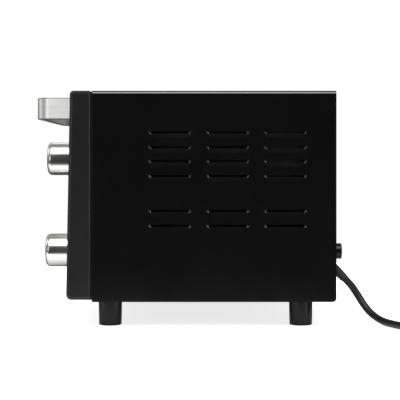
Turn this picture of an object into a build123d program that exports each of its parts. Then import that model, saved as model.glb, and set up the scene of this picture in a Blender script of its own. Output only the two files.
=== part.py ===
from build123d import *
import math
import os

os.makedirs("parts", exist_ok=True)

# ---------------------------------------------------------------- driving dimensions (mm)
HALF_W = 180.0          # half width of the body
TOP = 238.1             # top of the body
BOTTOM = 26.5           # underside of the wrap
SHEET = 0.8             # sheet metal thickness
WRAP_FRONT = -92.3      # front edge of the wrap
WRAP_REAR = 152.5       # rear edge of the wrap
WRAP_R = 4.0            # bend between top and sides
FACE_Y0 = -118.4        # front face of the bezel at its lower edge
FACE_Z0 = 28.4          # lower edge of the bezel
TILT = 1.07             # the front leans back by this angle, degrees
BEZEL_REAR = -93.7      # parting line of the bezel
BEZEL_WALL = 2.6
DOOR_X0, DOOR_X1 = -169.0, 95.0
DOOR_V0, DOOR_V1 = 20.0, 206.0      # heights along the sloped face
DOOR_W0, DOOR_W1 = 1.2, 7.2         # distances out of the sloped face
HINGE_V, HINGE_W = 23.0, 4.2
HANDLE_X0, HANDLE_X1 = -159.0, 85.0
HANDLE_FRONT = -160.75
HANDLE_Z0, HANDLE_Z1 = 212.7, 235.9
HANDLE_T = 6.0
MOUTH_X0, MOUTH_X1 = -158.0, 84.0
MOUTH_V0, MOUTH_V1 = 26.0, 187.6
LINER_X0, LINER_X1 = -160.0, 86.0   # inside faces of the cavity
LINER_Z0, LINER_Z1 = 44.0, 222.0
LINER_Y0, LINER_Y1 = -109.0, 122.0
KNOB_X = 132.0
KNOB_Z = (169.8, 75.1)
KNOB_R = 17.0
KNOB_FRONT = (-141.4, -143.2)
FOOT_X, FOOT_Y = 148.0, (-76.0, 119.4)
FOOT_R, FOOT_H = 12.0, 27.3
PANEL_Y = 148.2         # inner face of the rear panel
SPACER_X, SPACER_Z = 150.0, 75.5
SPACER_R, SPACER_TIP = 7.9, 160.75
RACK_Z, RACK_FRONT = 105.0, -103.0
HEATER_R = 3.3
HEATER_Y = (-55.0, 65.0)
HEATER_Z = (60.0, 207.0)
CORD_D = 7.5
CORD_EXIT_X = 130.0
COIL_C = (162.5, 278.0)

tilt = math.radians(TILT)
face = Plane(origin=(0, FACE_Y0, FACE_Z0), x_dir=(1, 0, 0),
             z_dir=(0, -math.cos(tilt), math.sin(tilt)))


def face_y(z):
    """Y of the sloped front face at height z."""
    return FACE_Y0 + (z - FACE_Z0) * math.tan(tilt)


def save(builder, name):
    builder.part.label = name
    export_step(builder.part, "parts/" + name + ".step")


# ---------------------------------------------------------------- outer wrap: top and two sides of one bent sheet
LOUVRE_Y = (-14.2, 43.9, 101.6)
LOUVRE_Z = (197.2, 182.4, 168.4, 153.6, 118.6, 103.6)
LOUVRE_L, LOUVRE_H, LOUVRE_D = 43.0, 6.6, 1.1
LOUVRE_SLIT = 1.9       # open height between the wall and the lip of a pocket


def louvre_section(side, inset, grow, depth, half):
    """Points (x, y) of a louvre pocket's level section on one side wall."""
    x_out = side * (HALF_W + inset)
    x_in = side * (HALF_W - depth - grow)
    return [(x_out, -half - grow), (x_out, half + grow),
            (x_in, half - depth), (x_in, -half + depth)]


with BuildPart() as pocket_outer_r:
    with BuildSketch(Plane.XY.offset(-LOUVRE_SLIT)):
        Polygon(*louvre_section(1, 0.0, 0.7, LOUVRE_D, LOUVRE_L / 2), align=None)
    with BuildSketch(Plane.XY.offset(-LOUVRE_H)):
        Polygon(*louvre_section(1, 0.0, 0.7, 0.15, LOUVRE_L / 2 - 2.4), align=None)
    loft(ruled=True)
with BuildPart() as pocket_void_r:
    with BuildSketch(Plane.XY.offset(-LOUVRE_SLIT)):
        Polygon(*louvre_section(1, 0.5, 0.0, LOUVRE_D, LOUVRE_L / 2), align=None)
    with BuildSketch(Plane.XY.offset(-LOUVRE_H)):
        Polygon(*louvre_section(1, 0.5, 0.0, 0.15, LOUVRE_L / 2 - 2.4), align=None)
    loft(ruled=True)
    with Locations((HALF_W - 1.3, 0, -LOUVRE_SLIT / 2)):
        Box(4.6, LOUVRE_L, LOUVRE_SLIT)
with BuildPart() as pocket_outer_l:
    add(pocket_outer_r.part.mirror(Plane.YZ))
with BuildPart() as pocket_void_l:
    add(pocket_void_r.part.mirror(Plane.YZ))

with BuildPart() as outer_wrap:
    with BuildSketch(Plane.XZ.offset(-WRAP_REAR)) as wrap_out:
        with Locations((0, (TOP + BOTTOM) / 2)):
            Rectangle(2 * HALF_W, TOP - BOTTOM)
        fillet(wrap_out.vertices().group_by(Axis.Y)[-1], WRAP_R)
    extrude(amount=WRAP_REAR - WRAP_FRONT)
    with BuildSketch(Plane.XZ.offset(-WRAP_REAR - 1)) as wrap_in:
        with Locations((0, (TOP + BOTTOM) / 2 - SHEET / 2)):
            Rectangle(2 * HALF_W - 2 * SHEET, TOP - BOTTOM - SHEET)
        fillet(wrap_in.vertices().group_by(Axis.Y)[-1], WRAP_R - SHEET)
    extrude(amount=WRAP_REAR - WRAP_FRONT + 2, mode=Mode.SUBTRACT)
    # return flanges hooked under the base plate
    for sx in (-1, 1):
        with Locations((sx * (HALF_W - 7.0), (WRAP_REAR + WRAP_FRONT) / 2, BOTTOM + SHEET / 2)):
            Box(14.0, WRAP_REAR - WRAP_FRONT, SHEET)
        with Locations((sx * (HALF_W - SHEET - 5.0), PANEL_Y - SHEET / 2, (TOP + BOTTOM) / 2)):
            Box(10.2, SHEET, TOP - BOTTOM - 6.0)
    with Locations((0, PANEL_Y - SHEET / 2, TOP - SHEET - 5.0)):
        Box(2 * HALF_W - 6.0, SHEET, 10.2)
    # the lower rear corners are rounded off
    with BuildSketch(Plane.YZ.offset(-HALF_W - 1)):
        with Locations((WRAP_REAR - 2.0, BOTTOM + 2.0)):
            Rectangle(4.2, 4.2)
        with Locations((WRAP_REAR - 4.0, BOTTOM + 4.0)):
            Circle(4.0, mode=Mode.SUBTRACT)
    extrude(amount=2 * HALF_W + 2, mode=Mode.SUBTRACT)
    # louvres pressed inward, slit at the top of each pocket
    louvre_spots = [(0, y, z) for y in LOUVRE_Y for z in LOUVRE_Z]
    with Locations(*louvre_spots):
        add(pocket_outer_r.part)
        add(pocket_outer_l.part)
    with Locations(*louvre_spots):
        add(pocket_void_r.part, mode=Mode.SUBTRACT)
        add(pocket_void_l.part, mode=Mode.SUBTRACT)
    # the front hem is rounded over
    hem = outer_wrap.faces().sort_by(Axis.Y)[0].outer_wire().edges()
    fillet(hem.filter_by(lambda e: abs(e.center().X) > HALF_W - 0.05 or e.center().Z > TOP - 0.05), 0.5)
    # screw holes in the rear flanges
    with Locations(*[Location((sx * 174.6, PANEL_Y, z), (90, 0, 0)) for sx in (-1, 1) for z in (50, 132, 214)],
                   *[Location((x, PANEL_Y, 231.6), (90, 0, 0)) for x in (-90, 0, 90)]):
        Cylinder(1.6, 6, mode=Mode.SUBTRACT)
save(outer_wrap, "outer_wrap")

# ---------------------------------------------------------------- front bezel
with BuildPart() as front_frame:
    with BuildSketch(Plane.YZ.offset(-HALF_W)) as bezel_side:
        Polygon((BEZEL_REAR, FACE_Z0), (face_y(FACE_Z0), FACE_Z0), (face_y(TOP), TOP), (BEZEL_REAR, TOP), align=None)
        fillet(bezel_side.vertices().filter_by(lambda v: v.X < -100 and v.Y > 100), 3.8)
        fillet(bezel_side.vertices().filter_by(lambda v: v.X < -100 and v.Y < 30), 5.0)
    extrude(amount=2 * HALF_W)
    fillet(front_frame.edges().filter_by(lambda e: abs(abs(e.center().X) - HALF_W) < 0.01 and e.center().Y < BEZEL_REAR - 1), 3.0)
    fillet(front_frame.faces().sort_by(Axis.Y)[-1].outer_wire().edges(), 1.7)
    # hollow from behind
    with BuildSketch(Plane.YZ.offset(-HALF_W + BEZEL_WALL)):
        Polygon((BEZEL_REAR + 1, FACE_Z0 + 2.4), (face_y(FACE_Z0 + 2.4) + BEZEL_WALL, FACE_Z0 + 2.4),
                (face_y(TOP - 3.0) + BEZEL_WALL, TOP - 3.0), (BEZEL_REAR + 1, TOP - 3.0), align=None)
    extrude(amount=2 * HALF_W - 2 * BEZEL_WALL, mode=Mode.SUBTRACT)
    # tongue that enters the wrap
    with BuildSketch(Plane.XZ.offset(-BEZEL_REAR - 8.0)) as tongue:
        with Locations((0, (237.0 + 28.6) / 2)):
            Rectangle(2 * 178.9, 237.0 - 28.6)
        fillet(tongue.vertices().group_by(Axis.Y)[-1], 3.0)
        with Locations((0, (235.0 + 30.8) / 2)):
            Rectangle(2 * 177.0, 235.0 - 30.8, mode=Mode.SUBTRACT)
    extrude(amount=9.0)
    # collar around the oven mouth
    mouth_cx, mouth_w = (MOUTH_X0 + MOUTH_X1) / 2, MOUTH_X1 - MOUTH_X0
    mouth_cv, mouth_h = (MOUTH_V0 + MOUTH_V1) / 2, MOUTH_V1 - MOUTH_V0
    with BuildSketch(face.offset(-2.0)) as collar:
        with Locations((mouth_cx, mouth_cv)):
            RectangleRounded(mouth_w + 3.2, mouth_h + 3.2, 6.6)
    extrude(amount=-7.0)
    with BuildSketch(face.offset(1)) as mouth:
        with Locations((mouth_cx, mouth_cv)):
            RectangleRounded(mouth_w, mouth_h, 5.0)
    extrude(amount=-14, mode=Mode.SUBTRACT)
    # window that takes the control fascia, with a rebate
    with BuildSketch(face.offset(1)):
        with Locations((133.5, 103.5)):
            RectangleRounded(70.0, 187.0, 3.0)
    extrude(amount=-2.4, mode=Mode.SUBTRACT)
    with BuildSketch(face.offset(1)):
        with Locations((133.5, 103.5)):
            Rectangle(62.0, 179.0)
    extrude(amount=-6, mode=Mode.SUBTRACT)
    # crumb tray slot
    with BuildSketch(face.offset(1)):
        with Locations((-37.0, 9.0)):
            Rectangle(226.0, 11.0)
    extrude(amount=-8, mode=Mode.SUBTRACT)
    # slots for the hinge lugs
    with BuildSketch(face.offset(1)):
        with Locations((DOOR_X0 - 1.6, HINGE_V), (DOOR_X1 + 1.6, HINGE_V)):
            Rectangle(2.3, 12.4)
    extrude(amount=-6, mode=Mode.SUBTRACT)
save(front_frame, "front_frame")

# ---------------------------------------------------------------- base plate
with BuildPart() as base_plate:
    with Locations((0, (WRAP_FRONT + PANEL_Y) / 2, BOTTOM + 1.5 * SHEET)):
        Box(2 * 178.8, PANEL_Y - 0.2 - WRAP_FRONT, SHEET)
    with Locations(*[(sx * FOOT_X, fy, BOTTOM + SHEET) for sx in (-1, 1) for fy in FOOT_Y]):
        Cylinder(2.15, 6, mode=Mode.SUBTRACT)
    with Locations((0, 25, BOTTOM + SHEET)):
        with GridLocations(20, 120, 12, 2):
            Box(4, 46, 6, mode=Mode.SUBTRACT)
save(base_plate, "base_plate")

# ---------------------------------------------------------------- rear panel, recessed inside the wrap's rim
rear_holes = [(sx * 174.6, z) for sx in (-1, 1) for z in (50, 132, 214)] + [(x, 231.6) for x in (-90, 0, 90)]
with BuildPart() as rear_panel:
    with BuildSketch(Plane.XZ.offset(-PANEL_Y)) as rp:
        with Locations((0, (237.0 + 28.4) / 2)):
            Rectangle(2 * 178.8, 237.0 - 28.4)
        fillet(rp.vertices().group_by(Axis.Y)[-1], 3.0)
        with Locations(*rear_holes):
            Circle(1.6, mode=Mode.SUBTRACT)
        with Locations((-SPACER_X, SPACER_Z), (SPACER_X, SPACER_Z)):
            Circle(2.1, mode=Mode.SUBTRACT)
        with Locations((CORD_EXIT_X, 56.2)):
            Circle(6.0, mode=Mode.SUBTRACT)
        with Locations((-37, 196)):
            with GridLocations(44, 9, 5, 4):
                SlotOverall(34, 3.6, mode=Mode.SUBTRACT)
        with Locations((132, 185)):
            with GridLocations(44, 9, 1, 6):
                SlotOverall(34, 3.6, mode=Mode.SUBTRACT)
    extrude(amount=-SHEET)
    with Locations((0, PANEL_Y - 5.5, 28.1 + SHEET / 2)):
        Box(330, 11.0, SHEET)
save(rear_panel, "rear_panel")

# ---------------------------------------------------------------- oven cavity
lx, ly, lz = LINER_X1 - LINER_X0, LINER_Y1 - LINER_Y0, LINER_Z1 - LINER_Z0
lcx, lcy, lcz = (LINER_X0 + LINER_X1) / 2, (LINER_Y0 + LINER_Y1) / 2, (LINER_Z0 + LINER_Z1) / 2
with BuildPart() as cavity_liner:
    with Locations((lcx, lcy + SHEET / 2, lcz)):
        Box(lx + 2 * SHEET, ly + SHEET, lz + 2 * SHEET)
    with Locations((lcx, lcy - 1, lcz)):
        Box(lx, ly + 2, lz, mode=Mode.SUBTRACT)
    # opening in the floor above the crumb tray
    with Locations((lcx, lcy, LINER_Z0)):
        Box(lx - 24, ly - 24, 4, mode=Mode.SUBTRACT)
    # heater holes in both side walls
    with Locations(*[Location((lcx, y, z), (0, 90, 0)) for y in HEATER_Y for z in HEATER_Z]):
        Cylinder(5.5, lx + 20, mode=Mode.SUBTRACT)
    # front flange behind the bezel collar
    with BuildSketch(Plane.XZ.offset(-LINER_Y0 - SHEET)) as flange:
        with Locations((lcx, lcz)):
            Rectangle(lx + 6.4, lz + 9.0)
            Rectangle(lx, lz, mode=Mode.SUBTRACT)
    extrude(amount=SHEET)
save(cavity_liner, "cavity_liner")

with BuildPart() as heat_shield:
    with Locations((91.4, 29, 132.0)):
        Box(SHEET, 226, 206)
    with Locations((95.0, 29, 29.4)):
        Box(8.0, 226, SHEET)
    with Locations(*[Location((91.4, y, z), (0, 90, 0)) for y in HEATER_Y for z in HEATER_Z]):
        Cylinder(9.5, 6, mode=Mode.SUBTRACT)
    with Locations((91.4, 20, 132)):
        with GridLocations(0, 30, 1, 3):
            Box(6, 60, 5, mode=Mode.SUBTRACT)
save(heat_shield, "heat_shield")

for side, wall in ((-1, LINER_X0), (1, LINER_X1)):
    with BuildPart() as rack_rail:
        with Locations((wall - side * 0.5, 6.0, 98.5)):
            Box(1.0, 220, 12.0)
        with Locations((wall - side * 3.6, 6.0, 102.2)):
            Box(7.2, 220, 1.0)
    save(rack_rail, "rack_rail_left" if side < 0 else "rack_rail_right")

# ---------------------------------------------------------------- heating rods and their ceramic bushings
for label, y, z in (("heater_lower_front", HEATER_Y[0], HEATER_Z[0]), ("heater_lower_rear", HEATER_Y[1], HEATER_Z[0]),
                    ("heater_upper_front", HEATER_Y[0], HEATER_Z[1]), ("heater_upper_rear", HEATER_Y[1], HEATER_Z[1])):
    with BuildPart() as heater:
        with Locations(Location((lcx, y, z), (0, 90, 0))):
            Cylinder(HEATER_R, lx + 22)
            Cylinder(1.2, lx + 36)
        fillet(heater.edges().filter_by(GeomType.CIRCLE).filter_by(lambda e: abs(e.radius - HEATER_R) < 0.01), 0.6)
    save(heater, label)

with BuildPart() as heater_bushings:
    with Locations(*[Location((x, y, z), (0, 90, 0)) for x in (LINER_X0 - 3.0, LINER_X1 + 3.0)
                     for y in HEATER_Y for z in HEATER_Z]):
        Cylinder(5.4, 12)
    with Locations(*[Location((x, y, z), (0, 90, 0)) for x in (LINER_X0 - SHEET - 1.6, LINER_X1 + SHEET + 1.6)
                     for y in HEATER_Y for z in HEATER_Z]):
        Cylinder(8.0, 3.0)
    with Locations(*[Location((lcx, y, z), (0, 90, 0)) for y in HEATER_Y for z in HEATER_Z]):
        Cylinder(HEATER_R, lx + 60, mode=Mode.SUBTRACT)
save(heater_bushings, "heater_bushings")

# ---------------------------------------------------------------- door, parallel to the sloped front
dcx, dw = (DOOR_X0 + DOOR_X1) / 2, DOOR_X1 - DOOR_X0
dcv, dh = (DOOR_V0 + DOOR_V1) / 2, DOOR_V1 - DOOR_V0
WIN_W, WIN_H, WIN_V = 212.0, 126.0, 112.0
with BuildPart() as door_frame:
    with BuildSketch(face.offset(DOOR_W0)) as d0:
        with Locations((dcx, dcv)):
            Rectangle(dw, dh)
        fillet(d0.vertices(), 2.5)
    extrude(amount=DOOR_W1 - DOOR_W0)
    fillet(door_frame.faces().sort_by(Axis.Y)[0].outer_wire().edges(), 1.6)
    bottom_rear = (face * Pos(dcx, DOOR_V0, DOOR_W0)).position
    fillet(door_frame.edges().filter_by(Axis.X).sort_by_distance(bottom_rear)[0], 2.3)
    with BuildSketch(face.offset(DOOR_W0 - 1)):
        with Locations((dcx, WIN_V)):
            RectangleRounded(WIN_W, WIN_H, 6.0)
    extrude(amount=10, mode=Mode.SUBTRACT)
    # rebate that holds the glass
    with BuildSketch(face.offset(DOOR_W0)):
        with Locations((dcx, WIN_V)):
            RectangleRounded(WIN_W + 14.6, WIN_H + 14.6, 4.0)
    extrude(amount=3.4, mode=Mode.SUBTRACT)
    # hinge bores from both side edges
    hinge_l = Plane(origin=(face * Pos(DOOR_X0, HINGE_V, HINGE_W)).position, x_dir=(0, 1, 0), z_dir=(1, 0, 0))
    hinge_r = Plane(origin=(face * Pos(DOOR_X1, HINGE_V, HINGE_W)).position, x_dir=(0, 1, 0), z_dir=(-1, 0, 0))
    for hp in (hinge_l, hinge_r):
        with BuildSketch(hp.offset(-1)):
            Circle(1.56)
        extrude(amount=13, mode=Mode.SUBTRACT)
    # handle screw holes
    with BuildSketch(face.offset(DOOR_W0 - 1)):
        with Locations((HANDLE_X0 + 3, 196.0), (HANDLE_X1 - 3, 196.0)):
            Circle(1.6)
    extrude(amount=10, mode=Mode.SUBTRACT)
    with BuildSketch(face.offset(DOOR_W0 - 1)):
        with Locations((HANDLE_X0 + 3, 196.0), (HANDLE_X1 - 3, 196.0)):
            Circle(3.3)
    extrude(amount=3.2, mode=Mode.SUBTRACT)
save(door_frame, "door_frame")

with BuildPart() as door_glass:
    with BuildSketch(face.offset(DOOR_W0 + 0.2)):
        with Locations((dcx, WIN_V)):
            RectangleRounded(WIN_W + 14.0, WIN_H + 14.0, 3.7)
    extrude(amount=3.1)
save(door_glass, "door_glass")

RET_X0, RET_X1, RET_V0, RET_V1 = -155.0, 81.0, 29.0, 185.0
with BuildPart() as door_inner_retainer:
    with BuildSketch(face.offset(DOOR_W0)):
        with Locations(((RET_X0 + RET_X1) / 2, (RET_V0 + RET_V1) / 2)):
            RectangleRounded(RET_X1 - RET_X0, RET_V1 - RET_V0, 4.0)
        with Locations((dcx, WIN_V)):
            RectangleRounded(WIN_W, WIN_H, 6.0, mode=Mode.SUBTRACT)
    extrude(amount=-0.8)
    with BuildSketch(face.offset(DOOR_W0 - 0.8)):
        with Locations(((RET_X0 + RET_X1) / 2, (RET_V0 + RET_V1) / 2)):
            RectangleRounded(RET_X1 - RET_X0, RET_V1 - RET_V0, 4.0)
            RectangleRounded(RET_X1 - RET_X0 - 1.6, RET_V1 - RET_V0 - 1.6, 3.2, mode=Mode.SUBTRACT)
    extrude(amount=-5.6)
save(door_inner_retainer, "door_inner_retainer")

with BuildPart() as rack_pull_hooks:
    for hx in (-149.5, 74.5):
        with BuildSketch(Plane.YZ.offset(hx)):
            Polygon((face_y(94) - DOOR_W0 + 0.85, 91.0), (-94.6, 91.0), (-94.6, 106.6), (-97.6, 106.6),
                    (-97.6, 96.0), (face_y(94) - DOOR_W0 + 0.8, 96.0), align=None)
        extrude(amount=2.0)
save(rack_pull_hooks, "rack_pull_hooks")

# strap handle
HANDLE_FOOT = (face * Pos(0, 196.0, DOOR_W1)).position.Y
with BuildPart() as door_handle:
    with BuildSketch(Plane.XY.offset(HANDLE_Z0)) as hs:
        with Locations(((HANDLE_X0 + HANDLE_X1) / 2, (HANDLE_FRONT - 112.0) / 2)):
            Rectangle(HANDLE_X1 - HANDLE_X0, -112.0 - HANDLE_FRONT)
        fillet(hs.vertices().group_by(Axis.Y)[0], 14.0)
    extrude(amount=HANDLE_Z1 - HANDLE_Z0)
    with BuildSketch(Plane.XY.offset(HANDLE_Z0 - 1)) as hs2:
        with Locations(((HANDLE_X0 + HANDLE_X1) / 2, (HANDLE_FRONT + HANDLE_T - 100.0) / 2)):
            Rectangle(HANDLE_X1 - HANDLE_X0 - 2 * HANDLE_T, -100.0 - HANDLE_FRONT - HANDLE_T)
        fillet(hs2.vertices().group_by(Axis.Y)[0], 8.0)
    extrude(amount=HANDLE_Z1 - HANDLE_Z0 + 2, mode=Mode.SUBTRACT)
    split(bisect_by=face.offset(DOOR_W1), keep=Keep.TOP)
    fillet(door_handle.edges().filter_by(lambda e: abs(e.center().Z - HANDLE_Z1) < 0.01 or abs(e.center().Z - HANDLE_Z0) < 0.01)
           .filter_by(lambda e: e.center().Y < HANDLE_FOOT - 0.5), 1.0)
    with BuildSketch(face.offset(DOOR_W1 - 1)):
        with Locations((HANDLE_X0 + 3, 196.0), (HANDLE_X1 - 3, 196.0)):
            Circle(1.45)
    extrude(amount=11, mode=Mode.SUBTRACT)
save(door_handle, "door_handle")

with BuildPart() as handle_screws:
    with BuildSketch(face.offset(DOOR_W0 + 2.2)):
        with Locations((HANDLE_X0 + 3, 196.0), (HANDLE_X1 - 3, 196.0)):
            Circle(1.45)
    extrude(amount=13.0)
    with BuildSketch(face.offset(DOOR_W0 + 0.2)):
        with Locations((HANDLE_X0 + 3, 196.0), (HANDLE_X1 - 3, 196.0)):
            Circle(3.0)
    extrude(amount=2.0)
save(handle_screws, "handle_screws")

# hinge lugs and pins
with BuildPart() as hinge_lugs:
    for lug_x in (DOOR_X0 - 2.6, DOOR_X1 + 0.6):
        lug_plane = Plane(origin=(face * Pos(lug_x, HINGE_V, 0)).position, x_dir=face.z_dir, z_dir=(1, 0, 0))
        with BuildSketch(lug_plane):
            with Locations((HINGE_W, 0)):
                Circle(4.6)
            with Locations(((HINGE_W - 7.0) / 2, 0)):
                Rectangle(HINGE_W + 7.0, 9.2)
            with Locations((HINGE_W, 0)):
                Circle(1.5, mode=Mode.SUBTRACT)
        extrude(amount=2.0)
save(hinge_lugs, "hinge_lugs")

with BuildPart() as hinge_pins:
    for px0 in (DOOR_X0 - 3.6, DOOR_X1 - 8.4):
        pin_plane = Plane(origin=(face * Pos(px0, HINGE_V, HINGE_W)).position, x_dir=(0, 1, 0), z_dir=(1, 0, 0))
        with BuildSketch(pin_plane):
            Circle(1.5)
        extrude(amount=12.0)
save(hinge_pins, "hinge_pins")

# ---------------------------------------------------------------- wire rack
rx0, rx1, ry0, ry1 = -155.0, 81.0, RACK_FRONT, 112.0
with BuildPart() as wire_rack:
    with BuildSketch(Plane.XY.offset(RACK_Z - 2.0)):
        with Locations(((rx0 + rx1) / 2, (ry0 + ry1) / 2)):
            RectangleRounded(rx1 - rx0 + 4.0, ry1 - ry0 + 4.0, 9.0)
            RectangleRounded(rx1 - rx0 - 4.0, ry1 - ry0 - 4.0, 5.0, mode=Mode.SUBTRACT)
    extrude(amount=4.0)
    fillet(wire_rack.edges(), 1.9)
    with Locations(*[Location((-37.0 + (k - 6) * 16.5, (ry0 + ry1) / 2, RACK_Z + 2.4), (90, 0, 0)) for k in range(13)]):
        Cylinder(1.3, ry1 - ry0 + 2)
    with Locations(Location(((rx0 + rx1) / 2, 20, RACK_Z + 0.3), (0, 90, 0))):
        Cylinder(1.5, rx1 - rx0 + 1)
save(wire_rack, "wire_rack")

# ---------------------------------------------------------------- crumb tray
with BuildPart() as crumb_tray:
    with Locations((-37.0, 0.0, 36.4)):
        Box(224.0, 232.0, 6.0)
    with Locations((-37.0, 0.0, 37.4)):
        Box(222.4, 230.4, 6.4, mode=Mode.SUBTRACT)
    with BuildSketch(face.offset(0.6)) as lip:
        with Locations((-37.0, 9.0)):
            RectangleRounded(230.0, 14.0, 2.0)
    extrude(amount=1.6)
    with BuildSketch(face.offset(0.6)):
        with Locations((-37.0, 8.0)):
            Rectangle(224.0, 6.0)
    extrude(amount=-3.5)
save(crumb_tray, "crumb_tray")

# ---------------------------------------------------------------- controls
with BuildPart() as control_fascia:
    with BuildSketch(face.offset(-1.4)):
        with Locations((133.5, 103.5)):
            RectangleRounded(69.4, 186.4, 2.7)
    extrude(amount=1.4)
    for kz in KNOB_Z:
        with BuildSketch(Plane.XZ.offset(110)):
            with Locations((KNOB_X, kz)):
                Circle(4.0)
        extrude(amount=15, mode=Mode.SUBTRACT)
    with BuildSketch(Plane.XZ.offset(110)):
        with Locations((KNOB_X, 122.5)):
            Circle(4.1)
    extrude(amount=15, mode=Mode.SUBTRACT)
save(control_fascia, "control_fascia")

for label, kz, kf in (("thermostat_knob", KNOB_Z[0], KNOB_FRONT[0]), ("timer_knob", KNOB_Z[1], KNOB_FRONT[1])):
    rear = face_y(kz) - 1.0
    length = rear - kf
    with BuildPart() as knob:
        with BuildSketch(Plane.XZ.offset(-rear)):
            with Locations((KNOB_X, kz)):
                Circle(KNOB_R)
        extrude(amount=length)
        fillet(knob.edges().sort_by(Axis.Y)[0], 4.2)
        # hollow skirt behind
        with BuildSketch(Plane.XZ.offset(-rear)):
            with Locations((KNOB_X, kz)):
                Circle(KNOB_R - 2.0)
                Circle(6.0, mode=Mode.SUBTRACT)
        extrude(amount=length - 6.0, mode=Mode.SUBTRACT)
        with BuildSketch(Plane.XZ.offset(-rear)):
            with Locations((KNOB_X, kz)):
                Circle(3.0)
        extrude(amount=14.0, mode=Mode.SUBTRACT)
        # pointer groove across the upper half of the front
        with BuildSketch(Plane.XZ.offset(-kf - 0.6)):
            with Locations((KNOB_X, kz + 8.0)):
                SlotOverall(11.0, 1.6, rotation=90)
        extrude(amount=3.0, mode=Mode.SUBTRACT)
    save(knob, label)
    with BuildPart() as shaft:
        with BuildSketch(Plane.XZ.offset(-rear + 13.8)):
            with Locations((KNOB_X, kz)):
                Circle(2.96)
        extrude(amount=-(13.8 + 16.0))
    save(shaft, label.replace("knob", "shaft"))

body_y = {}
for label, kz, size in (("thermostat_body", KNOB_Z[0], (36.0, 30.0, 36.0)), ("timer_body", KNOB_Z[1], (48.0, 38.0, 48.0))):
    y0 = face_y(kz) + 7.0
    with BuildPart() as control:
        with Locations((KNOB_X, y0 + size[1] / 2, kz)):
            Box(*size)
        fillet(control.edges().filter_by(Axis.Y), 2.0)
        tab = 9.0 if size[0] < 40 else 20.4
        with Locations((KNOB_X - tab, y0 + size[1] + 4.0, kz + 8.0), (KNOB_X - tab, y0 + size[1] + 4.0, kz - 8.0), (KNOB_X + tab, y0 + size[1] + 4.0, kz - 8.0)):
            Box(6.3, 8.4, 0.8)
        with BuildSketch(Plane.XZ.offset(-y0)):
            with Locations((KNOB_X, kz)):
                Circle(3.03)
        extrude(amount=-12.0, mode=Mode.SUBTRACT)
    save(control, label)

bell_y = face_y(KNOB_Z[1]) + 7.0 + 38.0 - 9.0
with BuildPart() as timer_bell:
    with BuildSketch(Plane.XY.offset(KNOB_Z[1])):
        with BuildLine():
            Polyline((KNOB_X, bell_y + 9.0), (KNOB_X + 15.0, bell_y + 9.0), (KNOB_X + 17.0, bell_y + 20.0))
            Polyline((KNOB_X + 17.0, bell_y + 20.0), (KNOB_X + 16.0, bell_y + 20.0), (KNOB_X + 14.2, bell_y + 10.0), (KNOB_X, bell_y + 10.0), (KNOB_X, bell_y + 9.0))
        make_face()
    revolve(axis=Axis((KNOB_X, 0, KNOB_Z[1]), (0, 1, 0)))
save(timer_bell, "timer_bell")

with BuildPart() as control_bracket:
    with Locations((KNOB_X, face_y(120) + 5.1, 122.5)):
        Box(40.0, 0.8, 172.0)
    for kz in KNOB_Z:
        with Locations(Location((KNOB_X, face_y(120) + 5, kz), (90, 0, 0))):
            Cylinder(4.0, 8, mode=Mode.SUBTRACT)
    with Locations(Location((KNOB_X, face_y(120) + 5, 122.5), (90, 0, 0))):
        Cylinder(6.4, 8, mode=Mode.SUBTRACT)
save(control_bracket, "control_bracket")

with BuildPart() as indicator_lens:
    yl = face_y(122.5)
    with Locations(Location((KNOB_X, yl + 2.0, 122.5), (90, 0, 0))):
        Cylinder(4.0, 7.0)
    with Locations(Location((KNOB_X, yl - 1.1, 122.5), (90, 0, 0))):
        Cylinder(5.4, 1.4)
    fillet(indicator_lens.edges().filter_by(GeomType.CIRCLE).sort_by(Axis.Y)[0], 0.6)
save(indicator_lens, "indicator_lens")

with BuildPart() as indicator_lamp:
    with Locations(Location((KNOB_X, face_y(122.5) + 14.6, 122.5), (90, 0, 0))):
        Cylinder(5.0, 18.0)
save(indicator_lamp, "indicator_lamp")

with BuildPart() as terminal_block:
    with Locations((132.0, 60.0, 36.1)):
        Box(36.0, 16.0, 16.0)
    fillet(terminal_block.edges().filter_by(Axis.X), 1.2)
    with Locations((120.0, 60.0, 44.1), (132.0, 60.0, 44.1), (144.0, 60.0, 44.1)):
        Cylinder(2.6, 8.0, mode=Mode.SUBTRACT)
save(terminal_block, "terminal_block")

# ---------------------------------------------------------------- feet and spacers
for label, sx, fy in (("foot_front_left", -1, FOOT_Y[0]), ("foot_front_right", 1, FOOT_Y[0]),
                      ("foot_rear_left", -1, FOOT_Y[1]), ("foot_rear_right", 1, FOOT_Y[1])):
    with BuildPart() as foot:
        with Locations((sx * FOOT_X, fy, 0)):
            Cone(FOOT_R - 0.4, FOOT_R, FOOT_H, align=(Align.CENTER, Align.CENTER, Align.MIN))
        fillet(foot.edges().sort_by(Axis.Z)[0], 1.0)
        with Locations((sx * FOOT_X, fy, 0)):
            Cylinder(4.8, 2 * 20.0, mode=Mode.SUBTRACT)
            Cylinder(2.1, 80.0, mode=Mode.SUBTRACT)
    save(foot, label)

with BuildPart() as foot_screws:
    with Locations(*[(sx * FOOT_X, fy, 17.5) for sx in (-1, 1) for fy in FOOT_Y]):
        Cylinder(4.0, 2.5, align=(Align.CENTER, Align.CENTER, Align.MIN))
        Cylinder(2.0, 14.0, align=(Align.CENTER, Align.CENTER, Align.MIN))
    with Locations(*[(sx * FOOT_X, fy, 28.1) for sx in (-1, 1) for fy in FOOT_Y]):
        Cylinder(4.0, 3.0, align=(Align.CENTER, Align.CENTER, Align.MIN))
save(foot_screws, "foot_screws")

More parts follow.
